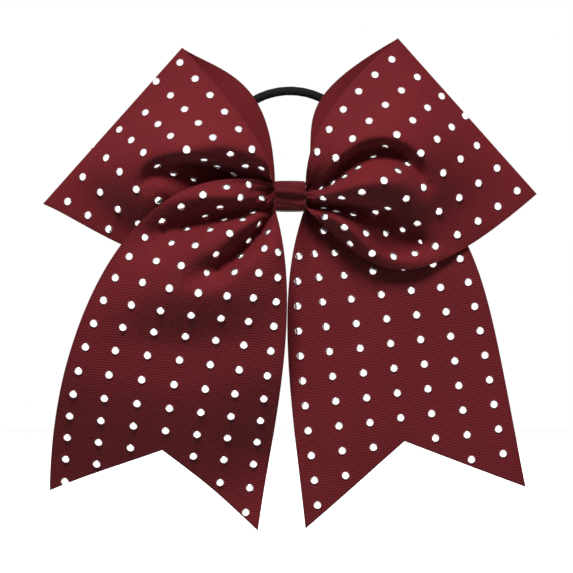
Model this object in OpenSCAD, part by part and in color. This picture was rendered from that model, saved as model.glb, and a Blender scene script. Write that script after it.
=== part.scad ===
// Cheer hair bow: one wide studded ribbon folded into two loops and two tails, gathered at a
// wrapped knot, with an elastic band behind it. Millimetres, +Z up, the front faces -Y.
// The origin is the centre of the flat back of the knot.

/* [Ribbon] */
// Width of the wide ribbon
ribbon_w = 76; // [60:1:92]
// Thickness of the wide ribbon
ribbon_t = 0.35; // [0.25:0.05:0.45]
// Depth of the pleats where the ribbon nears the knot
pleat_depth = 3; // [1:0.25:4]
// Depth of the V cut in the end of each tail
notch = 24; // [10:1:32]

/* [Loops] */
// Top corner of the left loop, sideways and up from the knot
left_corner = [-38, 52.6];
// Top corner of the right loop, sideways and up from the knot
right_corner = [38, 56];
// Slope of the outer crease of each loop, in degrees below level
crease_slope = 48.3; // [35:0.1:60]
// How far the front of the left loop stands forward
left_puff = 15; // [8:0.5:15.5]
// How far the front of the right loop stands forward
right_puff = 18; // [8:0.5:22]

// Span of a loop's outer crease, as a share of the ribbon's width, because the ribbon bows there
crease_span = 0.98; // [0.94:0.01:1]

/* [Tails] */
// Inner tip of the left tail, sideways and up from the knot
left_tip = [-11.5, -119.5];
// Inner tip of the right tail, sideways and up from the knot
right_tip = [5.5, -118.4];
// Slope of the line between a tail's two tips, in degrees
tip_slope = 10.7; // [0:0.1:20]
// Spread of the right tail's cut end, as a share of the ribbon's width
right_spread = 1.05; // [0.95:0.01:1.1]
// How far the left tail stands forward where it crosses its loop
crossing_lift = 13; // [10:0.5:18]
// Drop from the lower edge of the loops to the line where the tails flex
flex_drop = 12; // [6:1:25]
// Slit between the two halves of each tail at the flex line
flex_gap = 1; // [0.6:0.1:2]

/* [Knot] */
// Width of the narrow ribbon wrapped round the knot
wrap_w = 10.6; // [8:0.2:14]
// Thickness of the narrow ribbon
wrap_t = 0.5; // [0.3:0.05:0.8]
// Walls of ribbon pleated on top of each other in the knot
walls = 7; // [5:2:9]
// Diameter of the binding thread
thread_d = 0.6; // [0.3:0.1:1]
// Turns of binding thread
thread_turns = 5; // [3:1:7]
// Thickness of the glue under the end of the wrap
glue_t = 0.2; // [0.1:0.05:0.4]

/* [Elastic band] */
// Diameter of the elastic cord
elastic_d = 3.2; // [2:0.1:5]
// Radius of the bight, to the middle of the cord
bight_r = 26; // [18:1:32]
// Height of the bight's centre above the knot
bight_z = 12.2; // [9:0.2:20]
// Bend radius of the two lower corners
corner_r = 6; // [4:0.5:8]
// Length of the metal crimp that joins the cord's ends
crimp_l = 7; // [4:0.5:9]
// Wall of the crimp
crimp_wall = 0.5; // [0.3:0.1:0.8]

/* [Studs] */
// Diameter of a stud
stud_d = 3; // [2:0.1:4]
// Height of a stud above the ribbon
stud_h = 0.9; // [0.5:0.1:1.5]
// Spacing of the studs across the ribbon
stud_across = 10.8; // [8:0.1:14]
// Spacing of the studs along the ribbon
stud_along = 8.9; // [6:0.1:12]
// Rows of studs across the ribbon
stud_columns = 7; // [5:2:9]

/* [Hidden] */
$fn = 32;

maroon = [0.42, 0.1, 0.13];
silver = [0.85, 0.85, 0.87];
black = [0.09, 0.09, 0.09];
fit_gap = 0.05;       // between things packed against each other in the knot
free_gap = 0.12;      // round the band, so that it can turn in the wrap
sink = 0.1;           // how far a stud's glue goes into the ribbon
layers = 3;           // times that the ribbon passes through the knot
layer_step = ribbon_t + 0.03;

// --- Sizes of the knot, from the inside out ---
wall_pitch = layers * layer_step + fit_gap;
bend_r = wall_pitch / 2;
wall_half = (ribbon_w - (walls - 1) * PI * bend_r) / walls / 2;
bundle_y = wall_half + bend_r + (layers - 1) / 2 * layer_step + ribbon_t / 2;
bundle_z = (walls - 1) / 2 * wall_pitch + (layers - 1) / 2 * layer_step + ribbon_t / 2;
thread_y = bundle_y + fit_gap + thread_d;
thread_z = bundle_z + fit_gap + thread_d;
crimp_r = elastic_d / 2 + crimp_wall;
band_y = thread_y + free_gap + crimp_r;
cavity_front = -thread_y - fit_gap;
cavity_back = band_y + crimp_r + free_gap;
cavity_z = max(thread_z, crimp_r) + fit_gap;
wrap_z = cavity_z + wrap_t;
wrap_back = cavity_back + 2 * wrap_t + glue_t;
wrap_corner = 2.2;
waist_l = wrap_w + 1;

// --- Places that the two sides share ---
side_x = wrap_w / 2 + 0.9;           // where the ribbon leaves the knot, and the wings fold
root_z = bundle_z - ribbon_t;        // half the height of the ribbon there
leaf_start = 0.04;                   // the share of a leaf that stays with the waist
back_rest = band_y - elastic_d / 2 - stud_h - 0.5;   // the loops' backs lie against the band

// --- Small functions ---
function smooth(u) = let (c = max(0, min(1, u))) c * c * (3 - 2 * c);
function heading(a) = [cos(a), sin(a)];
// The value at u of the parabola through v[0] at 0, v[1] at 1/2 and v[2] at 1.
function through(v, u) = v[0] * (1 - u) * (1 - 2 * u) + v[1] * 4 * u * (1 - u) + v[2] * u * (2 * u - 1);
// The cubic from p to q that leaves with velocity a and arrives with velocity b.
function cubic(p, a, q, b, t) =
    p * (1 + 2 * t) * (1 - t) ^ 2 + a * t * (1 - t) ^ 2 + q * t ^ 2 * (3 - 2 * t) - b * t ^ 2 * (1 - t);
// Puffs up from 0 at the knot, and back to 0 at the crease.
function puff(t, lean = 1) = sin(180 * max(t, 0) ^ lean);

// --- Leaves: each is a fan of ribbon from the knot to a crease or a cut end ---
// [start side, start angles, start pulls, end point at q = 0, end point at q = 1,
//  end angles, end pulls, depth function, pleat share, face]
// q runs across the ribbon from 0 to 1 and t along it from the knot. Angles and pulls have a
// value at each edge and one in the middle. face is -1 where the studs face the front.
function leaf(side, angles, pulls, end0, end1, end_angles, end_pulls, depth, pleats, face) =
    [side, angles, pulls, end0, end1, end_angles, end_pulls, depth, pleats, face];

left_crease_end = left_corner + crease_span * ribbon_w * heading(180 + crease_slope);
right_crease_end = right_corner + crease_span * ribbon_w * heading(-crease_slope);
left_outer_tip = left_tip + ribbon_w * heading(180 - tip_slope);
right_outer_tip = right_tip + right_spread * ribbon_w * heading(tip_slope);

left_front = leaf(-1, [130, 170, 240], [22, 160, 140], left_corner, left_crease_end,
    [132, 141, 158], [170, 90, 60],
    function (t, p) -(1.5 * (1 - t) + left_puff * puff(t)) - ribbon_t * 0.6, 0.6, -1);
left_back = leaf(-1, [90, 170, 245], [116, 75, 130], left_corner, left_crease_end,
    [150, 145, 162], [45, 70, 50],
    function (t, p) (1.2 * (1 - t) + (back_rest - 1.2) * puff(t, 2)) + ribbon_t * 0.6, 0.2, 1);
right_front = leaf(1, [88, -14, -44], [20, 68, 100], right_corner, right_crease_end,
    [41, 39, 40.6], [125, 100, 189],
    function (t, p) -(3 * (1 - t) + right_puff * puff(t, 0.85)) - ribbon_t * 0.6, 1, -1);
right_back = leaf(1, [75, 10, -40], [66, 75, 90], right_corner, right_crease_end,
    [29, 38, 40], [140, 70, 130],
    function (t, p) (1.2 * (1 - t) + (back_rest - 1.2) * puff(t, 2)) + ribbon_t * 0.6, 0.2, 1);

// The line where the tails flex lies below both loops. There the left tail stands forward, and
// further down it falls back.
flex_z = min([for (l = [left_front, left_back, right_front, right_back]) for (t = [0.2 : 0.02 : 0.9])
    plan(l, t, 1)[1]]) - flex_drop;
left_tail_y = -5.5;
right_tail_y = -1;
fall_back = 15;

left_tail_leaf = leaf(-1, [168, 225, 286.5], [205, 60, 113], left_outer_tip, left_tip,
    [271, 262, 262], [56, 300, 118],
    function (t, p) left_tail_y - crossing_lift * smooth((norm(p) - 4) / 18)
        + fall_back * smooth((flex_z - 8 - p[1]) / 45),
    0.5, -1);
right_tail_leaf = leaf(1, [6.5, -40, -112], [191, 138, 98], right_outer_tip, right_tip,
    [-78.7, -80, -84], [259, 250, 118],
    function (t, p) right_tail_y, 0.15, -1);

// The place of a point of a leaf in the upright plane, as [sideways, up].
function plan(l, t, q) =
    let (
        start = [l[0] * side_x, root_z * (1 - 2 * q)],
        leave = through(l[2], q) * heading(through(l[1], q)),
        stop = l[3] + (l[4] - l[3]) * q,
        arrive = through(l[6], q) * heading(through(l[5], q))
    )
    cubic(start, leave, stop, arrive, t);

// The same point with its depth: the leaf's own, and two pleats that fade away from the knot.
function place(l, t, q) =
    let (p = plan(l, t, q), fade = 1 - smooth(t / 0.45))
    [p[0], l[7](t, p) - l[8] * fade * pleat_depth / 2 * cos(720 * q), p[1]];

// The unit vector out of the studded face.
function outward(l, t, q) =
    let (
        e = 0.002,
        along = place(l, t + e, q) - place(l, t - e, q),
        across = place(l, t, q + e) - place(l, t, q - e),
        n = cross(across, along),
        way = n[1] * l[9] > 0 ? 1 : -1
    )
    way * n / norm(n);

// The share of a leaf's length at which it comes down to a height, by halving.
function share_at(l, q, z, low = 0.15, high = 1, turns = 16) =
    turns == 0 ? (low + high) / 2 :
    let (mid = (low + high) / 2)
    plan(l, mid, q)[1] > z
        ? share_at(l, q, z, mid, high, turns - 1)
        : share_at(l, q, z, low, mid, turns - 1);

// The share of a leaf's length that lies s millimetres back from its far end, measured along the
// curved ribbon.
function back_from_end(l, q, s) =
    let (
        n = 48,
        share = function (i) 1 - i / n * (1 - leaf_start),
        p = [for (i = [0 : n + 1]) place(l, share(i), q)],
        table = [for (i = 0, d = 0; i <= n; d = d + norm(p[i + 1] - p[i]), i = i + 1) [d, share(i)]]
    )
    lookup(s, table);

// A closed sheet over a grid of rows and columns of points, each a [front, back] pair.
module sheet(rows) {
    m = len(rows);
    n = len(rows[0]);
    points = [for (side = [0, 1]) for (r = rows) for (p = r) p[side]];
    function at(side, i, j) = side * m * n + i * n + j;
    skin = [
        for (side = [0, 1]) for (i = [0 : m - 2]) for (j = [0 : n - 2])
        let (a = at(side, i, j), b = at(side, i, j + 1), c = at(side, i + 1, j + 1), d = at(side, i + 1, j))
        for (f = [[a, b, c], [a, c, d]]) side == 0 ? f : [f[2], f[1], f[0]]
    ];
    border = concat(
        [for (j = [0 : n - 2]) [0, j]], [for (i = [0 : m - 2]) [i, n - 1]],
        [for (j = [n - 1 : -1 : 1]) [m - 1, j]], [for (i = [m - 1 : -1 : 1]) [i, 0]]);
    rim = [
        for (k = [0 : len(border) - 1])
        let (p = border[k], q = border[(k + 1) % len(border)])
        for (f = [
            [at(0, p[0], p[1]), at(1, p[0], p[1]), at(1, q[0], q[1])],
            [at(0, p[0], p[1]), at(1, q[0], q[1]), at(0, q[0], q[1])]
        ]) f
    ];
    polyhedron(points, concat(skin, rim));
}

// Part of a leaf as a sheet of ribbon, between two functions of q that give t.
module ribbon(l, from, to, rows = 16, columns = 16) {
    grid = [
        for (i = [0 : rows])
        [
            for (j = [0 : columns])
            let (
                q = j / columns,
                t = from(q) + (to(q) - from(q)) * i / rows,
                p = place(l, t, q),
                n = outward(l, t, q) * l[0] * ribbon_t / 2
            )
            [p - n, p + n]
        ]
    ];
    color(maroon) sheet(grid);
}

// One stud: a drum with a sloped crown, standing on z = 0.
module stud() {
    drum = stud_h * 0.4;
    crown_r = stud_d * 0.32;
    translate([0, 0, -sink]) cylinder(h = drum + sink, d = stud_d);
    translate([0, 0, drum]) cylinder(h = stud_h - drum, r1 = stud_d / 2, r2 = crown_r);
}

// The studs of a leaf: a square grid on the ribbon, counted from its far end, with the first row
// first_row away. A stud is set where its whole foot lies between low(q) and high(q), and where
// the gather leaves room for it.
module studs(l, first_row, low, high) {
    half = (stud_columns - 1) / 2;
    foot = stud_d / 2 + 0.5;
    color(silver)
    for (c = [-half : half]) {
        q = 0.5 + c * stud_across / ribbon_w;
        for (r = [0 : 20]) {
            s = first_row + r * stud_along;
            t = back_from_end(l, q, s);
            room = norm(place(l, t, q + 0.01) - place(l, t, q - 0.01)) / 0.02 * stud_across / ribbon_w;
            clear = room > stud_d + 0.6;
            if (clear && back_from_end(l, q, s + foot) > low(q) && back_from_end(l, q, s - foot) < high(q)) {
                n = outward(l, t, q);
                translate(place(l, t, q) + n * ribbon_t / 2)
                    rotate([0, acos(n[2]), atan2(n[1], n[0])])
                    stud();
            }
        }
    }
}

start_of = function (q) leaf_start;
end_of = function (q) 1;
left_slit = function (side) function (q) share_at(left_tail_leaf, q, flex_z + side * flex_gap / 2);
right_slit = function (side) function (q) share_at(right_tail_leaf, q, flex_z + side * flex_gap / 2);
left_cut = function (q) back_from_end(left_tail_leaf, q, notch * (1 - abs(2 * q - 1)));
right_cut = function (q) back_from_end(right_tail_leaf, q, notch * (1 - abs(2 * q - 1)));

// A rectangle with round corners, in the plane of the knot's section.
module rounded(y0, y1, z, r) {
    for (a = [[y0 + r, -z, y1 - r, z], [y0, -z + r, y1, z - r]])
        translate([a[0], a[1]]) square([a[2] - a[0], a[3] - a[1]]);
    for (y = [y0 + r, y1 - r]) for (s = [-1, 1])
        translate([y, s * (z - r)]) circle(r);
}

// Turns a section drawn as [depth, height] into a length of it along X, centred on the knot.
module along_x(l) rotate([90, 0, 90]) translate([0, 0, -l / 2]) linear_extrude(l) children();

// One pass of the gathered ribbon: flat walls joined by half-round bends.
module waist_pass(k) {
    shift = k * layer_step;
    turn_z = wall_pitch;
    color(maroon) along_x(waist_l)
    for (i = [0 : walls - 1]) {
        z = (i - (walls - 1) / 2) * turn_z;
        way = i % 2 == 0 ? 1 : -1;
        translate([-wall_half, z + way * shift - ribbon_t / 2]) square([2 * wall_half, ribbon_t]);
        if (i < walls - 1)
            translate([way * wall_half, z + bend_r])
            intersection() {
                difference() {
                    circle(bend_r - way * shift + ribbon_t / 2);
                    circle(max(0.01, bend_r - way * shift - ribbon_t / 2));
                }
                translate([way > 0 ? -0.02 : 0.02 - 2 * wall_pitch, -2 * wall_pitch])
                    square([2 * wall_pitch, 4 * wall_pitch]);
            }
    }
}

module binding_thread() {
    pitch = (wrap_w - thread_d - 1) / (thread_turns - 1);
    color(maroon)
    for (i = [0 : thread_turns - 1])
        translate([(i - (thread_turns - 1) / 2) * pitch, 0, 0])
        along_x(thread_d)
        difference() {
            rounded(-thread_y, thread_y, thread_z, wrap_corner - wrap_t);
            rounded(-thread_y + thread_d, thread_y - thread_d, thread_z - thread_d,
                wrap_corner - wrap_t - thread_d);
        }
}

module knot_wrap() {
    flap_z = cavity_z * 0.75;
    color(maroon) along_x(wrap_w) {
        difference() {
            rounded(cavity_front - wrap_t, cavity_back + wrap_t, wrap_z, wrap_corner);
            rounded(cavity_front, cavity_back, cavity_z, wrap_corner - wrap_t);
        }
        translate([cavity_back + wrap_t + glue_t, -wrap_z + wrap_corner])
            square([wrap_t, wrap_z - wrap_corner + flap_z]);
        translate([cavity_back + wrap_t - 0.1, -wrap_z + wrap_corner])
            square([glue_t + wrap_t + 0.1, wrap_t]);
    }
}

module wrap_glue() {
    low = -wrap_z + wrap_corner + wrap_t + 0.4;
    high = cavity_z * 0.6;
    color([0.9, 0.88, 0.8]) along_x(wrap_w * 0.8)
        translate([cavity_back + wrap_t, low]) square([glue_t, high - low]);
}

// The elastic, in the upright plane behind the knot.
module band_foot() {
    straight = bight_r - corner_r;
    color(black) translate([0, band_y, 0]) {
        rotate([0, 90, 0]) cylinder(h = 2 * straight, d = elastic_d, center = true);
        for (s = [0, 1]) mirror([s, 0, 0])
            translate([straight, 0, corner_r]) rotate([90, 0, 0])
            rotate([0, 0, -90]) rotate_extrude(angle = 90) translate([corner_r, 0]) circle(d = elastic_d);
    }
}

module band_strand(side)
    color(black) translate([side * bight_r, band_y, corner_r])
    cylinder(h = bight_z - corner_r, d = elastic_d);

module band_bight()
    color(black) translate([0, band_y, bight_z]) rotate([90, 0, 0])
    rotate_extrude(angle = 180) translate([bight_r, 0]) circle(d = elastic_d);

module band_crimp()
    color(silver) translate([0, band_y, 0]) rotate([0, 90, 0])
    difference() {
        cylinder(h = crimp_l, r = crimp_r, center = true);
        cylinder(h = crimp_l + 1, d = elastic_d + 0.04, center = true);
    }

// Distance of the first row of studs from each leaf's far end.
loop_row = 6.5;
back_row = 5;
tail_row = 5;

translate([0, -wrap_back, 0]) {
    knot_wrap();
    wrap_glue();
    binding_thread();
    waist_pass(-1);  // waist_front_pass
    waist_pass(0);  // waist_middle_pass
    waist_pass(1);  // waist_back_pass
    ribbon(left_front, start_of, end_of);  // left_loop_front
    ribbon(left_back, start_of, end_of);  // left_loop_back
    ribbon(left_tail_leaf, start_of, left_slit(1));  // left_tail_root
    ribbon(right_front, start_of, end_of);  // right_loop_front
    ribbon(right_back, start_of, end_of);  // right_loop_back
    ribbon(right_tail_leaf, start_of, right_slit(1));  // right_tail_root
    ribbon(left_tail_leaf, left_slit(-1), left_cut);  // left_tail
    ribbon(right_tail_leaf, right_slit(-1), right_cut);  // right_tail
    studs(left_front, loop_row, start_of, end_of);  // left_loop_front_studs
    studs(left_back, back_row, start_of, end_of);  // left_loop_back_studs
    studs(left_tail_leaf, tail_row, start_of, left_slit(1));  // left_tail_root_studs
    studs(right_front, loop_row, start_of, end_of);  // right_loop_front_studs
    studs(right_back, back_row, start_of, end_of);  // right_loop_back_studs
    studs(right_tail_leaf, tail_row, start_of, right_slit(1));  // right_tail_root_studs
    studs(left_tail_leaf, tail_row, left_slit(-1), left_cut);  // left_tail_studs
    studs(right_tail_leaf, tail_row, right_slit(-1), right_cut);  // right_tail_studs
    band_foot();
    band_crimp();
    band_strand(-1);  // band_left_strand
    band_strand(1);  // band_right_strand
    band_bight();
}
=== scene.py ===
import bpy
import numpy as np
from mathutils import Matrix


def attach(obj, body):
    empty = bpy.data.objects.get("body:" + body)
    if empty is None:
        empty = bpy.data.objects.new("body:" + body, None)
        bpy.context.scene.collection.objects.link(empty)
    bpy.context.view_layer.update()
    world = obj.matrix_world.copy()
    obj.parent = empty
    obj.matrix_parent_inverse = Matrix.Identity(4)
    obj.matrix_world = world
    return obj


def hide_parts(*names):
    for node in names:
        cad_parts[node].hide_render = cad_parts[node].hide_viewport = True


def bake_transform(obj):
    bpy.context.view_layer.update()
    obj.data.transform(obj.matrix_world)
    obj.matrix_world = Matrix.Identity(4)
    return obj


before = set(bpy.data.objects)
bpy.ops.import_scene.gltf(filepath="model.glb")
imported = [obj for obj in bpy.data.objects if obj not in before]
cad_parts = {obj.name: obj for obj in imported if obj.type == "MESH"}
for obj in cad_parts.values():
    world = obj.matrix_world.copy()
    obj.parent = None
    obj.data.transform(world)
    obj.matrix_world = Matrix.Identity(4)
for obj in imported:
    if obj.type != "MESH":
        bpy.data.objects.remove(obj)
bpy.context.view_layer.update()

# A cheer hair bow: one wide studded ribbon folded into two loops and two tails, gathered at a
# wrapped knot, with an elastic band behind it. Shapes are worked out in millimetres, with x to the
# right, y towards the back and z up, from the middle of the gather, and lay() turns them into
# metres in the frame of the model.

MM = 0.001
RIBBON_W, RIBBON_T = 76.0, 0.35
WRAP_W, WRAP_T = 10.6, 0.5
WRAP_BACK = 12.067
SIDE_X, ROOT_Z = WRAP_W / 2 + 0.2, 4.3
CAVITY_FRONT, CAVITY_BACK, CAVITY_Z = -6.477, 10.867, 4.825
BAND_Y = 8.647
ELASTIC_D, BIGHT_R, BIGHT_Z, CORNER_R = 3.2, 26.0, 12.2, 6.0
FOLD_REACH, FLEX_REACH = 9.0, 10.0      # how much cloth a wing's hinge and a tail's would bend; this script bends none
STUB = 100.0                            # how far a leaf runs into the knot for each unit of t
LEFT_TAIL_Y, CROSSING_LIFT, RIGHT_TAIL_Y = -5.5, 13.0, -1.0
STUD_D, STUD_H = 3.0, 0.9
STUD_ALONG = 8.9
NOTCH = 24.0
# The sizes that the ribbons were cut to, across and along, in metres.
LOOP_FLAT, LEFT_TAIL_FLAT, RIGHT_TAIL_FLAT = (0.076, 0.145), (0.076, 0.135), (0.076, 0.125)


def lay(points):
    """Millimetres from the middle of the gather, into metres from the flat back of the knot."""
    return (np.asarray(points, float) + (0.0, -WRAP_BACK, 0.0)) * MM


def spot(x, y, z):
    """One point in the model's frame, in plain numbers."""
    return tuple(float(v) for v in lay((x, y, z)))


# --- Camera ---

VIEW_DISTANCE = 900.0
VIEW_WIDTH = 203.0
view_target = spot(-1.24, -6.0, -32.2)
camera_data = bpy.data.cameras.new("camera")
camera_data.sensor_width = 36.0
camera_data.lens = 36.0 * VIEW_DISTANCE / VIEW_WIDTH
camera = bpy.data.objects.new("camera", camera_data)
bpy.context.scene.collection.objects.link(camera)
camera.location = (view_target[0], view_target[1] - VIEW_DISTANCE * MM, view_target[2])
camera.rotation_euler = (np.pi / 2, 0.0, 0.0)
bpy.context.scene.camera = camera


# --- Small curves ---

def smooth(u):
    """Eases from 0 at u = 0 to 1 at u = 1: three u squared less two u cubed."""
    u = np.clip(u, 0.0, 1.0)
    return u * u * (3.0 - 2.0 * u)


def heading(degrees):
    """The unit vector at an angle, counted from the right towards up."""
    a = np.radians(degrees)
    return np.stack([np.cos(a), np.sin(a)], axis=-1)


def three(values, u):
    """The parabola through three values, at u = 0, a half and 1."""
    return (values[0] * (1 - u) * (1 - 2 * u) + values[1] * 4 * u * (1 - u)
            + values[2] * u * (2 * u - 1))


def even(values, u):
    """A smooth curve through evenly spaced values: a Catmull-Rom cubic between each pair."""
    v = np.concatenate([[2 * values[0] - values[1]], values, [2 * values[-1] - values[-2]]])
    s = np.clip(u, 0.0, 1.0) * (len(values) - 1)
    i = np.minimum(s.astype(int), len(values) - 2)
    f = s - i
    a, b, c, d = v[i], v[i + 1], v[i + 2], v[i + 3]
    return b + 0.5 * f * (c - a + f * (2 * a - 5 * b + 4 * c - d + f * (3 * (b - c) + d - a)))


def lengths(points):
    """How far along a run of points each one is, from the first."""
    steps = np.linalg.norm(np.diff(points, axis=0), axis=-1)
    return np.concatenate([np.zeros((1,) + steps.shape[1:]), np.cumsum(steps, axis=0)])


# --- Folds ---

class Fold:
    """A trough or a ridge that a ribbon takes along a path in the upright plane.

    Its push at a point is its depth there times a bell, e to the minus square of the point's
    distance from the path over the fold's half width. The half width differs on the path's left
    and right hand, and it and the depth change smoothly along the path. Depth is towards the back.
    """

    def __init__(self, path, depth, left, right):
        u = np.linspace(0.0, 1.0, 70)
        path = np.array(path, float)
        self.path = np.stack([even(path[:, 0], u), even(path[:, 1], u)], axis=-1)
        self.depth, self.left, self.right = (
            even(np.array(v, float), u) for v in (depth, left, right))
        self.along = np.gradient(self.path, axis=0)
        self.along /= np.linalg.norm(self.along, axis=-1, keepdims=True)

    def push(self, p):
        away = p[..., None, :] - self.path
        near = (away ** 2).sum(axis=-1).argmin(axis=-1)
        away = np.take_along_axis(away, near[..., None, None], axis=-2)[..., 0, :]
        along = self.along[near]
        hand = along[..., 0] * away[..., 1] - along[..., 1] * away[..., 0]
        mix = smooth(hand / 1.6 + 0.5)
        width = self.left[near] * mix + self.right[near] * (1 - mix)
        return self.depth[near] * np.exp(-(away ** 2).sum(axis=-1) / width ** 2)


# --- Leaves: each is a fan of ribbon from the knot to a crease or a cut end ---

class Leaf:
    """A fan of ribbon. q runs across it from 0 to 1 and t along it, from 0 at the knot to 1. What
    lies inside the knot has a t below 0.

    In the upright plane, the line at each q is the cubic that leaves the knot with one velocity and
    arrives at the far end with another; the headings and sizes of both are parabolas in q.
    """

    def __init__(self, side, angles, pulls, ends, end_angles, end_pulls, depth, folds=()):
        self.side, self.angles, self.pulls = side, angles, pulls
        self.ends, self.end_angles, self.end_pulls = ends, end_angles, end_pulls
        self.depth, self.folds = depth, folds

    def plan(self, t, q):
        t, q = np.broadcast_arrays(np.asarray(t, float), np.asarray(q, float))
        start = np.stack([np.full(t.shape, self.side * SIDE_X), ROOT_Z * (1 - 2 * q)], axis=-1)
        leave = three(self.pulls, q)[..., None] * heading(three(self.angles, q))
        stop = self.ends[0] + (self.ends[1] - self.ends[0]) * q[..., None]
        arrive = three(self.end_pulls, q)[..., None] * heading(three(self.end_angles, q))
        t = t[..., None]
        return (start * (1 + 2 * t) * (1 - t) ** 2 + leave * t * (1 - t) ** 2
                + stop * t ** 2 * (3 - 2 * t) - arrive * t ** 2 * (1 - t))

    def place(self, t, q):
        """The plan with its depth: the leaf's own, its folds, and the fine gathers by the knot."""
        t, q = np.broadcast_arrays(np.asarray(t, float), np.asarray(q, float))
        p = self.plan(np.maximum(t, 0.0), q)
        reach = np.hypot(p[..., 0] - self.side * SIDE_X, p[..., 1] * 0.8)
        y = self.depth(t, q, p)
        for fold in self.folds:
            y = y + fold.push(p) * smooth((reach - 1.0) / 5.0)
        gather = 1 - smooth((reach - 2.0) / 13.0)
        y = y + gather * (-1.6 * np.cos(4 * np.pi * q) - 0.5 * np.cos(14 * np.pi * q + 1.0))
        x = p[..., 0] + self.side * np.minimum(t, 0.0) * STUB
        squeeze = ((1 - smooth((np.abs(x) - WRAP_W / 2) / 3.0))
                   * (1 - smooth((np.abs(p[..., 1]) - 5.0) / 4.0)))
        y = y + squeeze * (np.clip(y, CAVITY_FRONT + 0.4, CAVITY_BACK - 0.4) - y)
        return np.stack([x, y, p[..., 1]], axis=-1)

    def line_of(self, q, count=700):
        """Points of one line of ribbon, from the far end to the knot, and how far along each is."""
        t = np.linspace(1.0, 0.0, count)
        line = self.place(t, np.full(count, q))
        return t, line, lengths(line)

    def back_from_end(self, q, s):
        """The t that lies s millimetres back from the far end along the curved ribbon."""
        t = np.linspace(1.0, 0.0, 500)
        run = lengths(self.place(t, np.full(t.shape, q)))
        return np.interp(s, run, t)


def crest(t, top, fall):
    """Rises from 0 at the knot to 1 at t = top, as a parabola, and falls to 0 at the far end as one
    less a power of the share of the way down: the higher the power, the steeper the end."""
    t = np.clip(t, 0.0, 1.0)
    return 1 - np.where(t < top, ((top - t) / top) ** 2, np.abs((t - top) / (1 - top)) ** fall)


left_corner, right_corner = np.array([-38.0, 52.6]), np.array([38.0, 56.0])
left_tip, right_tip = np.array([-11.5, -119.5]), np.array([5.5, -118.4])
CREASE_SLOPE, TIP_SLOPE, RIGHT_SPREAD = 48.3, 10.7, 1.05
CREASE_SPAN = 0.98 * RIBBON_W
left_crease = (left_corner, left_corner + CREASE_SPAN * heading(180 + CREASE_SLOPE))
right_crease = (right_corner, right_corner + CREASE_SPAN * heading(-CREASE_SLOPE))
left_cut = (left_tip + RIBBON_W * heading(180 - TIP_SLOPE), left_tip)
right_cut = (right_tip + RIGHT_SPREAD * RIBBON_W * heading(TIP_SLOPE), right_tip)
BACK_REST = BAND_Y - ELASTIC_D / 2 - STUD_H - 0.5
CREASE_R = 0.45


def right_front_depth(t, q, p):
    """Stands forward by a height that is greatest along the middle, and falls to the crease."""
    height = even(np.array([10.0, 14.0, 19.0, 20.0, 13.0, 5.0, 2.0]), q)
    fall = even(np.array([2.0, 2.2, 2.4, 2.6, 2.0]), q)
    return -3.0 * (1 - t) - height * crest(t, 0.45, fall) - CREASE_R


def left_front_depth(t, q, p):
    """The same, with the greatest height nearer the upper edge."""
    height = even(np.array([16.0, 20.0, 21.0, 18.0, 12.0, 4.0, 2.0]), q)
    fall = even(np.array([1.8, 2.0, 2.6, 3.4, 2.0]), q)
    return -1.5 * (1 - t) - height * crest(t, 0.5, fall) - CREASE_R


def back_depth(t, q, p):
    """The back of a loop bellies out near its crease, to rest against the elastic."""
    return 1.2 * (1 - t) + (BACK_REST - 2.4) * np.sin(np.pi * np.clip(t, 0, 1) ** 2.2) + CREASE_R


def left_tail_depth(t, q, p):
    """Lifts over its loop, billows forward along its middle, falls back below the billow and again
    in a long lean lower down, and comes forward a little at its inner tip."""
    x, z = p[..., 0], p[..., 1]
    middle = np.sin(np.pi * np.clip(q, 0, 1)) ** 1.5
    billow = middle * smooth((z + 54) / 22) * smooth((-8 - z) / 20)
    return (LEFT_TAIL_Y - (CROSSING_LIFT - 3.0) * smooth((np.hypot(x, z) - 4) / 18) - 8.0 * billow
            + 18.0 * smooth((-58 - 8 * middle - z) / 56) + 5.0 * smooth((-30 - z) / 60)
            - 5.0 * q ** 2 * smooth((-88 - z) / 34))


def right_tail_depth(t, q, p):
    """Hangs almost flat, with a slow ripple across."""
    z = p[..., 1]
    return RIGHT_TAIL_Y + 0.8 * smooth((-30 - z) / 60) * np.cos(2 * np.pi * q + z / 40)


right_front = Leaf(
    1, [88, -14, -44], [20, 68, 100], right_crease, [41, 39, 40.6], [125, 100, 189],
    right_front_depth, [
        # the arched pocket above
        Fold([(8, 0.8), (14.5, 5.5), (20.5, 11.4), (28.5, 15.6), (36.5, 15), (43, 10.6), (47, 4)],
             [5, 8.5, 12, 13, 12, 8, 2.5],
             [2, 2, 2.1, 2.3, 2.6, 3, 3.5], [2.4, 3.2, 5, 6.2, 6.2, 5.5, 4.5]),
        # the ridge below it
        Fold([(8.5, -0.8), (19, 2), (30, 4), (39, 2.5), (47, -2)],
             [-3, -3, -2, -1.5, -0.5], [2, 3, 4, 4, 4], [2, 2.6, 3.2, 4, 5]),
        # the long trough from the knot, and the ridge along the lower edge
        Fold([(7.5, -3), (13.5, -3.4), (23, -4.4), (32, -6), (38, -9.6), (43, -14), (49, -18)],
             [5.5, 10, 12, 11, 9, 6, 1.5],
             [1.6, 1.8, 2.1, 2.4, 2.6, 3, 3], [1.8, 2.4, 3.8, 5, 5.5, 5, 4]),
        Fold([(8.5, -6), (14.8, -8.4), (20.5, -12.6), (27, -18), (34, -22.4), (45, -24), (54, -21)],
             [-4, -6, -6.5, -6, -4, -2.5, -1],
             [1.8, 2.4, 3, 3.4, 3, 3, 3], [2.5, 3, 4, 5, 5, 5, 5]),
    ])
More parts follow.
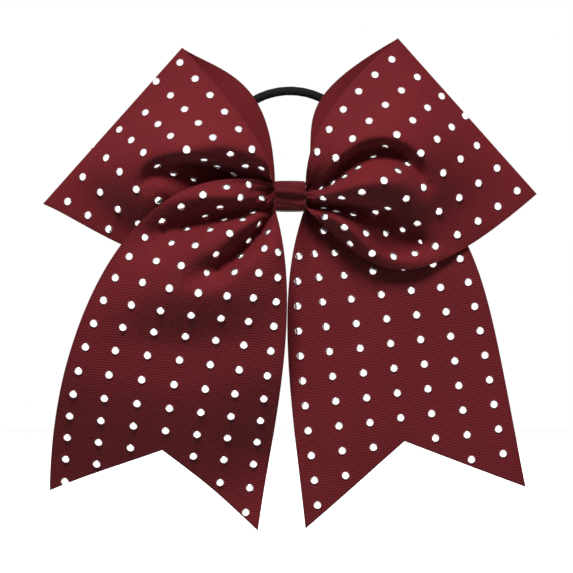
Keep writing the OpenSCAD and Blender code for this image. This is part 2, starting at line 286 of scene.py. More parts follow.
right_back = Leaf(
    1, [75, 10, -40], [66, 75, 90], right_crease, [29, 38, 40], [140, 70, 130],
    back_depth, [
        Fold([(8, 1), (20, 10), (34, 18)], [-2.5, -2.5, -0.5], [3, 5, 6], [3, 5, 6]),
        Fold([(8, -3), (24, -8), (40, -10)], [-2, -2, -0.5], [3, 4, 6], [3, 5, 6]),
    ])
left_front = Leaf(
    -1, [130, 170, 240], [22, 160, 140], left_crease, [132, 141, 158], [170, 90, 60],
    left_front_depth, [
        # the arched pocket, and the hollow that the tail lies over
        Fold([(-9.5, 1.2), (-15.5, 3.6), (-22, 7.4), (-30, 9.9), (-39, 10.2), (-47.5, 8),
              (-53, 1.5)],
             [5, 9.5, 13, 13, 10.5, 7, 0.5],
             [2.5, 3.5, 6, 7, 7, 5, 3.5], [1.7, 1.8, 1.9, 2.0, 2.3, 2.8, 3]),
        Fold([(-12, -3), (-24, -3), (-38, -5)], [2, 4, 1], [4, 5, 6], [4, 5, 6]),
    ])
left_back = Leaf(
    -1, [90, 170, 245], [116, 75, 130], left_crease, [150, 145, 162], [45, 70, 50],
    back_depth, [
        Fold([(-8, 1), (-22, 9), (-38, 16)], [-2.5, -2.5, -0.5], [3, 5, 6], [3, 5, 6]),
        Fold([(-8, -3), (-24, -8), (-42, -8)], [-2, -2, -0.5], [3, 4, 6], [3, 5, 6]),
    ])
left_tail = Leaf(
    -1, [168, 225, 286.5], [205, 50, 113], left_cut, [271, 262, 262], [56, 320, 118],
    left_tail_depth, [
        # ridges and troughs by turns, from the upper edge round to the inner one
        Fold([(-9, -0.4), (-19, -0.6), (-30, -0.4), (-41, -2.2), (-49, -5.6), (-55, -11)],
             [-2.5, -3.5, -3.5, -3, -2, -0.5],
             [2.4, 2.8, 3.2, 3.6, 4, 5], [2.4, 3, 3.5, 4, 5, 6]),
        Fold([(-7, -4), (-14.6, -5.6), (-25.6, -7.4), (-34.5, -9.4), (-43.3, -12.6), (-51, -17)],
             [4.5, 7, 8, 7, 4.5, 0.5],
             [2, 2.8, 3.6, 4.5, 5.5, 6.5], [1.6, 1.9, 2.3, 2.8, 3.4, 4.5]),
        Fold([(-9, -7), (-16, -10.5), (-24, -14.5), (-33, -18.5), (-43, -22)],
             [-2, -3, -3, -2, -0.5], [2, 3, 5, 7, 9], [2, 3, 4, 6, 8]),
        Fold([(-6.8, -6.7), (-10, -11.5), (-14.4, -16), (-19, -20.6), (-24.5, -25), (-31, -27),
              (-37, -26)],
             [4, 8, 10, 10, 8, 4.5, 0.5],
             [1.8, 2.4, 3, 3.5, 4, 5, 6], [1.8, 2.2, 2.6, 3, 3.5, 4.5, 5]),
        Fold([(-5.6, -10), (-5.4, -18), (-5, -26), (-4.5, -40)], [-1.5, -3, -2.5, -0.5],
             [2.5, 3.5, 5, 7], [2.5, 3.5, 5, 7]),
    ])
right_tail = Leaf(
    1, [6.5, -40, -112], [191, 138, 98], right_cut, [-78.7, -80, -84], [259, 250, 118],
    right_tail_depth, [
        Fold([(7, -6), (8, -16), (9, -30)], [1.5, 2.5, 0.3], [2, 3, 5], [2, 3, 5]),
        Fold([(9, -5), (16, -16), (22, -30)], [1.5, 2, 0.3], [2, 4, 6], [2, 4, 6]),
    ])


# --- Making meshes ---

UV_PER_MM = 0.01        # the ribbons' UV maps count in tenths of a metre
RIM_ANGLE = 50.0        # a sheet's rim stays sharp, and its skins smooth


def new_piece(name, points, faces, soft=True):
    """An object with a mesh of points already in the model's frame. soft shades it smooth."""
    mesh = bpy.data.meshes.new(name)
    mesh.from_pydata(np.asarray(points).tolist(), [], faces)
    mesh.update()
    mesh.polygons.foreach_set("use_smooth", np.full(len(mesh.polygons), soft))
    piece = bpy.data.objects.new(name, mesh)
    bpy.context.scene.collection.objects.link(piece)
    return piece


def corner_points(mesh):
    """The index of the point at each corner of each face."""
    order = np.empty(len(mesh.loops), np.int32)
    mesh.loops.foreach_get("vertex_index", order)
    return order


def point_values(mesh, name, values):
    """Writes a number for each point, which a material can read by name."""
    mesh.attributes.new(name, "FLOAT", "POINT").data.foreach_set("value", values.astype(np.float32))


def quads(rows, columns, start=0):
    """The four-cornered faces of a grid of points that starts at one index."""
    a = start + (np.arange(rows - 1)[:, None] * columns + np.arange(columns - 1)).ravel()
    return np.stack([a, a + 1, a + columns + 1, a + columns], axis=-1)


def grid_normals(grid):
    """Unit normals of a grid: the cross product of its slopes along and across."""
    n = np.cross(np.gradient(grid, axis=0), np.gradient(grid, axis=1))
    return n / np.maximum(np.linalg.norm(n, axis=-1, keepdims=True), 1e-9)


def cloth(name, grid, thickness, u, v, to_cut=None):
    """A closed sheet round a grid of middle points: each point moved half the thickness along the
    normal, both ways, and a rim between the two skins. u and v are millimetres across and along
    the ribbon and become its UV map. to_cut is each point's distance from a cut end."""
    m, n = grid.shape[:2]
    half = grid_normals(grid) * thickness / 2
    points = np.concatenate([(grid + half).reshape(-1, 3), (grid - half).reshape(-1, 3)])
    back = m * n
    top, bottom = quads(m, n), quads(m, n, back)[:, ::-1]
    i = np.concatenate([np.arange(n), np.arange(1, m) * n + n - 1,
                        (m - 1) * n + np.arange(n - 2, -1, -1), np.arange(m - 2, 0, -1) * n])
    j = np.roll(i, -1)
    rim = np.stack([i, i + back, j + back, j], axis=-1)
    faces = np.concatenate([top[:, ::-1], bottom[:, ::-1], rim[:, ::-1]])
    piece = new_piece(name, lay(points), faces.tolist())
    mesh = piece.data
    mesh.set_sharp_from_angle(angle=np.radians(RIM_ANGLE))
    place = np.stack([np.broadcast_to(u, (m, n)), np.broadcast_to(v, (m, n))], axis=-1)
    place = np.tile(place.reshape(-1, 2), (2, 1)) * UV_PER_MM
    mesh.uv_layers.new(name="weave").data.foreach_set("uv", place[corner_points(mesh)].ravel())
    if to_cut is not None:
        point_values(mesh, "to_cut", np.tile(to_cut.ravel(), 2))
    return piece


def loop_ribbon(name, front, back):
    """One loop: the front leaf out to the crease, a half-round fold, and the back leaf home."""
    q = np.linspace(0.0, 1.0, 110)
    t = np.concatenate([[-0.045, -0.02], np.linspace(0.0, 1.0, 150) ** 1.15])[:, None]
    out, home = front.place(t, q), back.place(t, q)[::-1]
    across = front.ends[1] - front.ends[0]
    across = across / np.linalg.norm(across)
    away = np.array([-across[1], across[0]]) * front.side
    a = np.linspace(-90.0, 90.0, 9)[1:-1]
    line = front.plan(1.0, q)
    turn = CREASE_R * heading(a)
    fold = np.empty((len(a), len(q), 3))
    fold[..., 0] = line[:, 0] + away[0] * turn[:, :1]
    fold[..., 2] = line[:, 1] + away[1] * turn[:, :1]
    fold[..., 1] = turn[:, 1:]
    grid = np.concatenate([out, fold, home])
    v = lengths(grid)
    v = v - v[len(t) + len(a) // 2]
    if front.side < 0:
        grid = grid[:, ::-1]
        return cloth(name, grid, RIBBON_T, q[::-1] * RIBBON_W, v[:, ::-1])
    return cloth(name, grid, RIBBON_T, q * RIBBON_W, v)


def tail_ribbon(name, leaf):
    """One tail, from inside the knot to its V cut."""
    q = np.linspace(0.0, 1.0, 121)
    cut = np.array([leaf.back_from_end(c, NOTCH * (1 - abs(2 * c - 1))) for c in q])
    share = np.concatenate([[-0.004, -0.002], np.linspace(0.0, 1.0, 210)])[:, None]
    t = np.where(share > 0, share * cut, share)
    grid = leaf.place(t, q)
    run = lengths(grid)
    every = np.linspace(-0.004, 1, 400)
    whole = np.array([lengths(leaf.place(every, np.full(len(every), c)))[-1] for c in q])
    v = whole - run
    to_cut = run[-1] - run
    if leaf.side < 0:
        grid, v, to_cut = grid[:, ::-1], v[:, ::-1], to_cut[:, ::-1]
        return cloth(name, grid, RIBBON_T, q[::-1] * RIBBON_W, v, to_cut)
    return cloth(name, grid, RIBBON_T, q * RIBBON_W, v, to_cut)


# --- Studs ---

STUD_FROM_KNOT, STUD_RIM, CUT_RIM, STUD_GAP = 2.0, 0.3, 1.0, 0.15
CROWD_GAP, CROWD_REACH = 3.0, 26.0      # the wider space, and how far from the knot it fades


def stud_shape(sides=10):
    """A pressed cap: a short skirt and a dome, as rings of points whose radius follows a profile.

    The profile runs up from the hidden foot, as radius and height."""
    profile = np.array([(1.4, -0.12), (1.5, 0.12), (1.28, 0.52), (0.75, 0.82)])
    a = np.arange(sides) * 2 * np.pi / sides
    rings = np.stack([np.cos(a) * profile[:, :1], np.sin(a) * profile[:, :1],
                      np.broadcast_to(profile[:, 1:], (len(profile), sides))], axis=-1)
    points = np.concatenate([rings.reshape(-1, 3), [(0, 0, profile[0, 1]), (0, 0, STUD_H)]])
    k = np.arange(sides)
    after = (k + 1) % sides
    walls = [np.stack([r * sides + k, r * sides + after, (r + 1) * sides + after,
                       (r + 1) * sides + k], axis=-1) for r in range(len(profile) - 1)]
    top, low = (len(profile) - 1) * sides, len(points) - 2
    crown = np.stack([top + k, top + after, np.full(sides, low + 1)], axis=-1)
    base = np.stack([after, k, np.full(sides, low)], axis=-1)
    return points, np.concatenate(walls), np.concatenate([crown, base])


def stud_places(leaf, edge, pitch, rows, face, cut=False):
    """Centres and outward directions of a leaf's studs: seven columns, the first at q = edge and
    the others a pitch apart, and rows at even distances back along the ribbon from its far end,
    the first as rows says for each column. One that would reach past the ribbon's edge is left
    out, and one that comes too near another, which near the knot is a wider space."""
    centres, outs = [], []
    for c in (3, 2, 4, 1, 5, 0, 6):
        q = edge + c * pitch
        t, line, run = leaf.line_of(q)
        s = rows[c] + np.arange(20) * STUD_ALONG
        notch = NOTCH * (1 - abs(2 * q - 1)) + CUT_RIM if cut else 0.2
        s = s[(s > notch) & (s < run[-1] - STUD_FROM_KNOT)]
        ts, e = np.interp(s, run, t), 0.004
        qs = np.full(ts.shape, q)
        p = leaf.place(ts, qs)
        n = np.cross(leaf.place(ts, qs + e) - leaf.place(ts, qs - e),
                     leaf.place(ts + e, qs) - leaf.place(ts - e, qs))
        n *= np.sign(n[:, 1:2] * face) / np.linalg.norm(n, axis=-1, keepdims=True)
        edge_line = leaf.line_of(round(q))[1]
        rim = np.linalg.norm(p[:, None] - edge_line, axis=-1).min(axis=1)
        p, n = p[rim > STUD_D / 2 + STUD_RIM], n[rim > STUD_D / 2 + STUD_RIM]
        for centre, out in zip(p + n * RIBBON_T / 2, n):
            near_knot = 1 - smooth(np.hypot(centre[0], centre[2]) / CROWD_REACH - 0.2)
            gap = STUD_D + STUD_GAP + CROWD_GAP * near_knot
            if all(np.linalg.norm(centre - o) > gap for o in centres):
                centres.append(centre)
                outs.append(out)
    return np.array(centres), np.array(outs)


def studs(name, places):
    """Many studs as one mesh: the cap's points turned to each stud's direction and moved to it."""
    centre = np.concatenate([p[0] for p in places])
    out = np.concatenate([p[1] for p in places])
    side = np.cross(out, (0.0, 0.0, 1.0))
    side /= np.maximum(np.linalg.norm(side, axis=-1, keepdims=True), 1e-6)
    turn = np.stack([side, np.cross(out, side), out], axis=-1)
    shape, walls, caps = stud_shape()
    points = centre[:, None, :] + np.einsum("sij,kj->ski", turn, shape)
    step = (np.arange(len(centre)) * len(shape))[:, None, None]
    faces = (walls + step).reshape(-1, 4).tolist() + (caps + step).reshape(-1, 3).tolist()
    piece = new_piece(name, lay(points.reshape(-1, 3)), faces)
    point_values(piece.data, "height", np.tile(shape[:, 2], len(centre)))
    return piece


# --- The elastic and the wrap ---

COVER_V = 0.1           # the elastic's UV map: once round is 1, and 10 mm along is 1
TWIST = 4.0             # millimetres of elastic to each turn of its cover
COVER_RIBS, COVER_RELIEF = 8, 0.035
COVER_THREADS, COVER_PITCH = 12, 1.1


def band_route():
    """The middle of the elastic: from inside the crimp along the foot, round a corner, up a strand,
    over the bight and down the other side the same way."""
    straight = BIGHT_R - CORNER_R
    foot = np.stack([np.linspace(0.4, straight, 14), np.zeros(14)], axis=-1)
    corner = np.array([straight, CORNER_R]) + CORNER_R * heading(np.linspace(-90, 0, 14)[1:])
    strand = np.stack([np.full(6, BIGHT_R), np.linspace(CORNER_R, BIGHT_Z, 7)[1:]], axis=-1)
    over = np.array([0, BIGHT_Z]) + BIGHT_R * heading(np.linspace(0, 90, 40)[1:])
    half = np.concatenate([foot, corner, strand, over])
    whole = np.concatenate([half, half[::-1][1:] * (-1, 1)])
    return np.stack([whole[:, 0], np.full(len(whole), BAND_Y), whole[:, 1]], axis=-1)


def elastic_cord(name, route):
    """A round cord: circles set square to the route, a little fuller at each twist of its cover."""
    run = lengths(route)
    s = np.linspace(0, run[-1], 420)
    line = np.stack([np.interp(s, run, route[:, k]) for k in range(3)], axis=-1)
    ahead = np.gradient(line, axis=0)
    ahead /= np.linalg.norm(ahead, axis=-1, keepdims=True)
    behind = np.broadcast_to((0.0, 1.0, 0.0), line.shape)
    side = np.cross(ahead, behind)
    a = np.linspace(0, 2 * np.pi, 25)
    rib = np.cos(COVER_RIBS * a[None] + s[:, None] * 2 * np.pi / TWIST)
    r = ELASTIC_D / 2 + COVER_RELIEF * rib - 0.03
    ring = (line[:, None] + r[..., None] * (np.cos(a)[None, :, None] * side[:, None]
                                            + np.sin(a)[None, :, None] * behind[:, None]))
    m, n = ring.shape[:2]
    points = np.concatenate([ring[:, :-1].reshape(-1, 3), line[[0, -1]]])
    i = np.arange(m - 1)[:, None] * (n - 1)
    k = np.arange(n - 1)
    after = (k + 1) % (n - 1)
    wall = np.stack([i + k, i + after, i + (n - 1) + after, i + (n - 1) + k], axis=-1)
    wall = wall.reshape(-1, 4)
    ends = len(points) - 2
    cap = np.stack([after, k, np.full(n - 1, ends)], axis=-1)
    start = (m - 1) * (n - 1)
    last = np.stack([start + k, start + after, np.full(n - 1, ends + 1)], axis=-1)
    piece = new_piece(name, lay(points), wall.tolist() + cap.tolist() + last.tolist())
    u = np.concatenate([np.tile(a[:-1] / (2 * np.pi), m), [0, 0]])
    v = np.concatenate([np.repeat(s, n - 1), [0, s[-1]]])
    uv = np.stack([u, v * COVER_V], axis=-1)[corner_points(piece.data)].reshape(-1, 2)
    seam = np.repeat(np.arange(len(wall)) % (n - 1) == n - 2, 4)
    first = np.tile([False, True, True, False], len(wall))
    uv[:len(seam)][seam & first, 0] += 1.0
    piece.data.uv_layers.new(name="cover").data.foreach_set("uv", uv.ravel())
    return piece


def wrap_route(lap):
    """The section of the knot in depth and height: a round-cornered box, walked from the foot of
    the back up, over the front and round again to lap over its own start."""
    front, back = CAVITY_FRONT - WRAP_T / 2, CAVITY_BACK + WRAP_T / 2
    z, r = CAVITY_Z + WRAP_T / 2, 1.95
    turns = [((back - r, z - r), 0, 90), ((front + r, z - r), 90, 180),
             ((front + r, r - z), 180, 270), ((back - r + lap, r - z), 270, 360)]
    path = [np.array([[back, -z + 2.4]])]
    for middle, a, b in turns:
        path.append(np.array(middle) + r * heading(np.linspace(a, b, 12)))
    path.append(np.array([[back + lap, 3.6]]))
    path = np.concatenate(path)
    run = lengths(path)
    s = np.linspace(0, run[-1], 260)
    return np.stack([np.interp(s, run, path[:, 0]), np.interp(s, run, path[:, 1])], axis=-1), s


def knot_wrap(name):
    """The narrow ribbon round the knot. Its section is walked once for each place across its width.
    The front puffs out as a bell that is fullest above the middle, with a crease below it."""
    path, s = wrap_route(WRAP_T + 0.2)
    across = np.linspace(-1.0, 1.0, 41)
    y = np.broadcast_to(path[:, :1], (len(s), len(across))).copy()
    z = np.broadcast_to(path[:, 1:], (len(s), len(across))).copy()
    front = smooth((-3.0 - y) / 3.0)
    puff = np.exp(-((z - 1.9) / 2.6) ** 2) + 0.12 * np.sin(z * 1.9 + across * 1.3)
    crease = np.exp(-((z + 0.7 + 0.35 * across) / 0.45) ** 2)
    y -= front * (2.9 * (1 - 0.3 * across ** 2) * np.maximum(puff, 0.0) - 0.6 * crease * puff)
    z *= 1 - 0.035 * np.abs(across) ** 3
    x = across * WRAP_W / 2 + 0.12 * np.sin(z * 0.9) * (1 - front * 0.4)
    grid = np.stack([x, y, z], axis=-1)
    return cloth(name, grid[:, ::-1], WRAP_T, across[::-1] * WRAP_W / 2, s[:, None] + 0 * across)


# --- Building the pieces ---

route = band_route()
band = elastic_cord("elastic_band", route)
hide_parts("band_foot", "band_left_strand", "band_right_strand", "band_bight")

left_loop = loop_ribbon("left_loop", left_front, left_back)
right_loop = loop_ribbon("right_loop", right_front, right_back)
left_tail_piece = tail_ribbon("left_tail_ribbon", left_tail)
right_tail_piece = tail_ribbon("right_tail_ribbon", right_tail)
wrap = knot_wrap("knot_wrap_ribbon")

left_loop_studs = studs("left_loop_caps", [
    stud_places(left_front, 0.058, 0.1455, (2.9, 1.0, 7.6, 3.9, 8.7, 4.6, 5.9), -1),
    stud_places(left_back, 0.07, 0.1433, (6.0, 7.9, 1.3, 5.0, 0.3, 4.3, 3.0), 1)])
right_loop_studs = studs("right_loop_caps", [
    stud_places(right_front, 0.06, 0.1445, (6.9, 4.6, 2.6, 0.3, 5.0, 4.2, 4.0), -1),
    stud_places(right_back, 0.07, 0.1433, (2.0, 4.3, 6.3, 8.6, 3.9, 4.7, 4.9), 1)])
left_tail_studs = studs("left_tail_caps", [
    stud_places(left_tail, 0.072, 0.1433, (4.6, 13.9, 22.9, 32.0, 23.4, 14.6, 5.6), -1, cut=True)])
right_tail_studs = studs("right_tail_caps", [
    stud_places(right_tail, 0.07, 0.1440, (4.3, 13.2, 23.0, 32.5, 24.0, 16.0, 7.5), -1, cut=True)])


# --- Finishes ---

SOCKETS = {"color": "Base Color", "roughness": "Roughness", "metallic": "Metallic",
           "specular": "Specular IOR Level", "subsurface": "Subsurface Weight",
           "sheen": "Sheen Weight", "sheen_spread": "Sheen Roughness",
           "sheen_color": "Sheen Tint", "glow_color": "Emission Color",
           "glow": "Emission Strength"}
UV, OBJECT, FACTOR = 2, 3, 2       # outputs of Texture Coordinate, and of Attribute


class Wire:
    """What comes out of one node, so that shader sums read as arithmetic."""

    def __init__(self, finish, socket):
        self.finish, self.socket = finish, socket

    def _sum(self, operation, a, b=None):
        return self.finish.node("ShaderNodeMath", {"operation": operation}, {0: a, 1: b})

    def __add__(self, other): return self._sum("ADD", self, other)
    def __radd__(self, other): return self._sum("ADD", other, self)
    def __sub__(self, other): return self._sum("SUBTRACT", self, other)
    def __rsub__(self, other): return self._sum("SUBTRACT", other, self)
    def __mul__(self, other): return self._sum("MULTIPLY", self, other)
    def __rmul__(self, other): return self._sum("MULTIPLY", other, self)
    def __pow__(self, other): return self._sum("POWER", self, other)
    def __gt__(self, other): return self._sum("GREATER_THAN", self, other)
    def __lt__(self, other): return self._sum("LESS_THAN", self, other)
    def sine(self): return self._sum("SINE", self)
    def size(self): return self._sum("ABSOLUTE", self)


class Finish:
    """A material: a Principled shader with plain values, and what varies fed to it by wires."""

    def __init__(self, name, **plain):
        self.material = bpy.data.materials.new(name)
        self.material.use_nodes = True
        self.tree = self.material.node_tree
        self.tree.nodes.clear()
        self.shader = self.tree.nodes.new("ShaderNodeBsdfPrincipled")
        out = self.tree.nodes.new("ShaderNodeOutputMaterial")
        self.tree.links.new(self.shader.outputs[0], out.inputs["Surface"])
        for socket, value in plain.items():
            self.shader.inputs[SOCKETS[socket]].default_value = value

    def node(self, kind, settings=None, sockets=None, out=0):
        """Any node, from its type, its settings, and the values or wires of its sockets."""
        made = self.tree.nodes.new(kind)
        for key, value in (settings or {}).items():
            setattr(made, key, value)
        for key, value in (sockets or {}).items():
            if isinstance(value, Wire):
                self.tree.links.new(value.socket, made.inputs[key])
            elif value is not None:
                made.inputs[key].default_value = value
        return Wire(self, made.outputs[out])

    def mix(self, amount, a, b):
        """Colour a where amount is 0, and b where it is 1."""
        return self.node("ShaderNodeMix", {"data_type": "RGBA"}, {0: amount, 6: a, 7: b}, out=2)

    def parts(self, vector):
        """The x, y and z of a vector."""
        split = self.node("ShaderNodeSeparateXYZ", None, {0: vector})
        return [Wire(self, split.socket.node.outputs[k]) for k in range(3)]

    def noise(self, vector, scale, detail=3.0, rough=0.5):
        return self.node("ShaderNodeTexNoise", None,
                         {"Vector": vector, "Scale": scale, "Detail": detail, "Roughness": rough})

    def stretch(self, vector, by):
        return self.node("ShaderNodeVectorMath", {"operation": "MULTIPLY"}, {0: vector, 1: by})

    def feed(self, socket, wire):
        self.tree.links.new(wire.socket, self.shader.inputs[socket])

    def bump(self, height, depth, strength=1.0):
        self.feed("Normal", self.node("ShaderNodeBump", None,
                                      {"Strength": strength, "Distance": depth, "Height": height}))


def grosgrain(name, deep, bright, width, relief=0.75, cut=False):
    """Ribbed ribbon: fine cords straight across it every 0.95 mm, close warp threads along it, a
    woven selvage at each edge, uneven dye, and a singed line where a tail is cut."""
    f = Finish(name, roughness=0.8, sheen=0.04, sheen_spread=0.5,
               sheen_color=(0.9, 0.4, 0.45, 1.0), specular=0.12)
    rib_pitch, warp_pitch, selvage = 0.95, 0.42, 0.9
    uv = f.node("ShaderNodeTexCoord", out=UV)
    u, v, _ = f.parts(uv)
    u, v = u * (1 / UV_PER_MM), v * (1 / UV_PER_MM)
    wander = f.noise(f.stretch(uv, (2.0, 9.0, 1.0)), 3.0)
    rib = ((v * (2 * np.pi / rib_pitch) + wander * 0.8).sine() * 0.5 + 0.5) ** 0.6
    warp = (u * (2 * np.pi / warp_pitch)).sine() * 0.5 + 0.5
    yarn = f.noise(f.stretch(uv, (30.0, 420.0, 1.0)), 1.0, 4.0)
    cloud = f.noise(f.node("ShaderNodeTexCoord", out=OBJECT), 42.0, 4.0)
    edge = ((u - width / 2).size() > (width / 2 - selvage)) * 1.0
    tone = rib * (0.45 * relief) + yarn * 0.5 + cloud * 0.36 + warp * 0.08 - 0.22 - edge * 0.12
    colour = f.mix(tone, deep, bright)
    if cut:
        near = f.node("ShaderNodeAttribute", {"attribute_name": "to_cut"}, out=FACTOR)
        colour = f.mix((near < 0.55) * 0.5, colour, (0.035, 0.006, 0.008, 1.0))
    f.feed("Base Color", colour)
    f.feed("Roughness", 0.72 + yarn * 0.16 + rib * -0.06)
    f.bump(rib * (1 - edge * 0.6) + warp * 0.16 + yarn * 0.2, 0.00016, relief)
    return f.material


def polished_caps():
    """Pressed silver caps: bright domes, faint scuffs, and a duller skirt darkened as painted
    shade.
    """
    f = Finish("polished_caps", metallic=1.0)
    height = f.node("ShaderNodeAttribute", {"attribute_name": "height"}, out=FACTOR)
    scuff = f.noise(f.node("ShaderNodeTexCoord", out=OBJECT), 900.0, 2.0)
    # the skirt ring: its colour is greyed as painted shade where the cap meets the cloth, and it is
    # rougher
    low = (height < 0.3) * 1.0
    f.feed("Base Color", f.mix(low * 0.55, (0.9, 0.9, 0.9, 1.0), (0.3, 0.29, 0.3, 1.0)))
    f.feed("Roughness", 0.22 + scuff * 0.14 + low * 0.2)
    return f.material


def elastic_cover():
    """Black braided cover: two sets of threads that wind opposite ways, with a dusty bloom."""
    f = Finish("elastic_cover", roughness=0.85, sheen=0.03, sheen_spread=0.5, specular=0.08)
    u, v, _ = f.parts(f.node("ShaderNodeTexCoord", out=UV))
    round_it, along_it = 2 * np.pi * COVER_THREADS, 2 * np.pi / COVER_PITCH / COVER_V
    one = (u * round_it + v * along_it).sine()
    other = (u * round_it - v * along_it).sine()
    braid = one * other * 0.5 + 0.5
    fuzz = f.noise(f.node("ShaderNodeTexCoord", out=OBJECT), 700.0, 3.0)
    shade = braid * 0.5 + fuzz * 0.4
    f.feed("Base Color", f.mix(shade, (0.004, 0.004, 0.004, 1), (0.022, 0.021, 0.02, 1)))
    f.bump(braid + fuzz * 0.4, 0.00015, 0.8)
    return f.material


def sewing_thread():
    """Maroon thread whose strands cross it aslant, as a sine over a sum of its coordinates."""
    f = Finish("sewing_thread", roughness=0.6, sheen=0.2)
    x, y, z = f.parts(f.node("ShaderNodeTexCoord", out=OBJECT))
    twist = ((x + y * 0.6 + z * 0.6) * (2 * np.pi / 0.0006)).sine() * 0.5 + 0.5
    f.feed("Base Color", f.mix(twist, (0.05, 0.008, 0.01, 1), (0.13, 0.02, 0.026, 1)))
    f.bump(twist, 0.0001, 0.6)
    return f.material


def hot_glue():
    """Dried glue: yellowish white, cloudy and a little lumpy."""
    f = Finish("hot_glue", roughness=0.3, specular=0.5, subsurface=0.2)
    cloud = f.noise(f.node("ShaderNodeTexCoord", out=OBJECT), 300.0, 3.0)
    f.feed("Base Color", f.mix(cloud, (0.72, 0.68, 0.55, 1), (0.85, 0.82, 0.72, 1)))
    f.bump(cloud, 0.0002, 0.4)
    return f.material


def plain_sleeve():
    """Bare metal, lightly scuffed."""
    f = Finish("plain_sleeve", metallic=1.0)
    scuff = f.noise(f.node("ShaderNodeTexCoord", out=OBJECT), 500.0, 4.0)
    f.feed("Base Color", f.mix(scuff, (0.5, 0.5, 0.51, 1), (0.7, 0.7, 0.71, 1)))
    f.feed("Roughness", 0.3 + scuff * 0.2)
    return f.material


def finish_with(material, *pieces):
    for piece in pieces:
        piece.data.materials.clear()
        piece.data.materials.append(material)


MAROON_DEEP, MAROON = (0.09, 0.006, 0.0085, 1.0), (0.21, 0.016, 0.022, 1.0)
# the knot's maroons are the wide ribbon's made about a quarter darker, as painted shade
KNOT_DEEP_SHADED, KNOT_SHADED = (0.07, 0.005, 0.007, 1.0), (0.16, 0.013, 0.018, 1.0)
WRAP_SELVAGE = 99.0     # puts the selvage's duller tone over the left half of the wrap
wide = grosgrain("maroon_grosgrain", MAROON_DEEP, MAROON, RIBBON_W)
wide_cut = grosgrain("maroon_grosgrain_cut", MAROON_DEEP, MAROON, RIBBON_W, cut=True)
narrow = grosgrain("narrow_maroon_grosgrain_shaded", KNOT_DEEP_SHADED, KNOT_SHADED, WRAP_SELVAGE, relief=0.15)
caps = polished_caps()
finish_with(wide, left_loop, right_loop)
finish_with(wide_cut, left_tail_piece, right_tail_piece)
finish_with(narrow, wrap)
finish_with(caps, left_loop_studs, right_loop_studs, left_tail_studs, right_tail_studs)
finish_with(elastic_cover(), band)


def carry_on(name, material):
    """A CAD node that stays in view keeps its shape and takes a better finish."""
    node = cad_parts[name]
    if not node.material_slots:
        node.data.materials.append(material)
    for slot in node.material_slots:
        slot.material = material


def gathered_ribbon():
    """The ribbon folded inside the knot, in the same maroons, with a fine uneven grain."""
    f = Finish("gathered_ribbon", roughness=0.65, sheen=0.15)
    grain = f.noise(f.node("ShaderNodeTexCoord", out=OBJECT), 800.0)
    f.feed("Base Color", f.mix(grain, MAROON_DEEP, MAROON))
    return f.material


gathered = gathered_ribbon()
for node in ("waist_front_pass", "waist_middle_pass", "waist_back_pass"):
    carry_on(node, gathered)
carry_on("binding_thread", sewing_thread())
carry_on("wrap_glue", hot_glue())
carry_on("band_crimp", plain_sleeve())


# --- What each piece stands for; the wrap goes with the knot ---

def stands_for(nodes):
    """Hides the CAD nodes that a piece takes the place of."""
    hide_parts(*nodes)


for piece, nodes, flat, held in (
        (left_loop, ("left_loop_front", "left_loop_back"), LOOP_FLAT, "folded"),
        (right_loop, ("right_loop_front", "right_loop_back"), LOOP_FLAT, "folded"),
        (left_tail_piece, ("left_tail_root", "left_tail"), LEFT_TAIL_FLAT, "gathered"),
        (right_tail_piece, ("right_tail_root", "right_tail"), RIGHT_TAIL_FLAT, "gathered")):
    stands_for(nodes)
stands_for(("knot_wrap",))
for piece, nodes in (
        (left_loop_studs, ("left_loop_front_studs", "left_loop_back_studs")),
        (right_loop_studs, ("right_loop_front_studs", "right_loop_back_studs")),
        (left_tail_studs, ("left_tail_root_studs", "left_tail_studs")),
        (right_tail_studs, ("right_tail_root_studs", "right_tail_studs"))):
    stands_for(nodes)

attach(wrap, "knot")
for side, wing, loop_pieces in ((-1, "left_wing", (left_loop, left_loop_studs)),
                                (1, "right_wing", (right_loop, right_loop_studs))):
    near, far = side * WRAP_W / 2, side * (WRAP_W / 2 + FOLD_REACH)
    for piece in loop_pieces:
        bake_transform(piece)
for x, y, wing, tail, tail_pieces in (
        (-45, -18.5, "left_wing", "left_tail", (left_tail_piece, left_tail_studs)),
        (36, RIGHT_TAIL_Y, "right_wing", "right_tail", (right_tail_piece, right_tail_studs))):
    for piece in tail_pieces:
        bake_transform(piece)
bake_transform(band)


# --- Studio ---

FLOOR_R, FLOOR_Z = 1.4, -0.16
SKY_TO_THE_EYE, SKY_ON_CLOTH = 1.0, 0.075
BOW_MIDDLE = (0.0, 0.0, -0.03)


def pale_floor():
    """A round pale floor below the bow: a ring of points at one radius round a middle point."""
    a = np.linspace(0.0, 2 * np.pi, 96, endpoint=False)
    rim = np.column_stack([FLOOR_R * np.cos(a), FLOOR_R * np.sin(a), np.full(len(a), FLOOR_Z)])
    k = np.arange(len(a))
    faces = np.stack([k, (k + 1) % len(a), np.full(len(a), len(a))], axis=-1)
    points = np.vstack([rim, (0.0, 0.0, FLOOR_Z)])
    floor = new_piece("pale_floor", points, faces.tolist(), soft=False)
    paper = Finish("white_paper", color=(0.9, 0.9, 0.9, 1), roughness=0.9, specular=0.1,
                   glow_color=(1, 1, 1, 1), glow=0.8)
    finish_with(paper.material, floor)
    floor.visible_diffuse = False


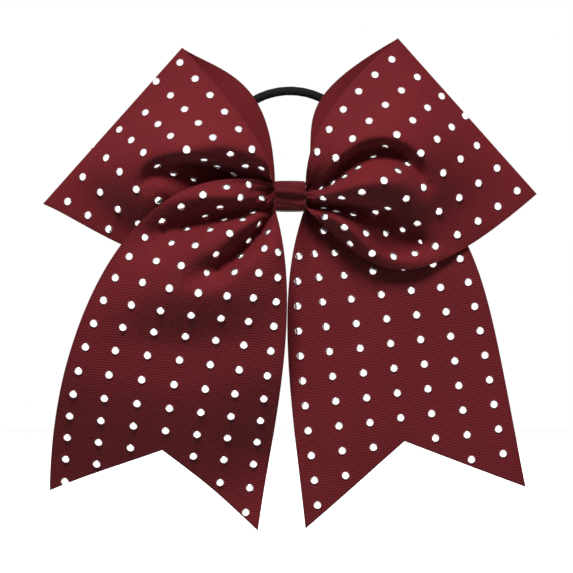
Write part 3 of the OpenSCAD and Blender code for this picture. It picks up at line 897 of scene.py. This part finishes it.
def dark_card():
    """A dark card low in front, seen only in the caps' polish, as a studio's darker side is."""
    y, low, half = -1.0, -0.9, 0.8
    card = new_piece("dark_card", [(-half, y, low), (half, y, low), (half, y, FLOOR_Z),
                                   (-half, y, FLOOR_Z)], [(0, 1, 2, 3)], soft=False)
    felt = Finish("grey_felt", color=(0.03, 0.03, 0.03, 1), roughness=1.0, specular=0.0)
    finish_with(felt.material, card)
    card.visible_camera = card.visible_diffuse = card.visible_shadow = False


def soft_box(name, location, size, power):
    """A square lamp that faces the middle of the bow."""
    light = bpy.data.lights.new(name, "AREA")
    light.shape, light.size, light.size_y, light.energy = "RECTANGLE", size, size, power
    lamp = bpy.data.objects.new(name, light)
    lamp.location = location
    aim = np.array(BOW_MIDDLE) - np.array(location)
    aim /= np.linalg.norm(aim)
    tilt, turn = np.arccos(-aim[2]), np.arctan2(aim[1], aim[0]) - np.pi / 2
    lamp.rotation_euler = (float(tilt), 0.0, float(turn))
    bpy.context.scene.collection.objects.link(lamp)


def studio_air():
    """White all round to the eye and in the polish, but dim as a light on cloth."""
    world = bpy.data.worlds.new("studio_air")
    world.use_nodes = True
    tree = world.node_tree
    tree.nodes.clear()
    bright, dim = tree.nodes.new("ShaderNodeBackground"), tree.nodes.new("ShaderNodeBackground")
    for sky, strength in ((bright, SKY_TO_THE_EYE), (dim, SKY_ON_CLOTH)):
        sky.inputs["Color"].default_value = (1, 1, 1, 1)
        sky.inputs["Strength"].default_value = strength
    ray, pick = tree.nodes.new("ShaderNodeLightPath"), tree.nodes.new("ShaderNodeMixShader")
    out = tree.nodes.new("ShaderNodeOutputWorld")
    tree.links.new(ray.outputs["Is Diffuse Ray"], pick.inputs[0])
    tree.links.new(bright.outputs[0], pick.inputs[1])
    tree.links.new(dim.outputs[0], pick.inputs[2])
    tree.links.new(pick.outputs[0], out.inputs["Surface"])
    bpy.context.scene.world = world


pale_floor()
dark_card()
studio_air()
soft_box("key", (-0.1, -0.68, 0.74), size=0.3, power=11.4)
soft_box("fill", (0.3, -1.1, 0.1), size=0.6, power=0.7)
soft_box("back_fill", (0.25, 1.0, 0.35), size=0.5, power=6.5)
bpy.context.scene.view_settings.view_transform = "Standard"
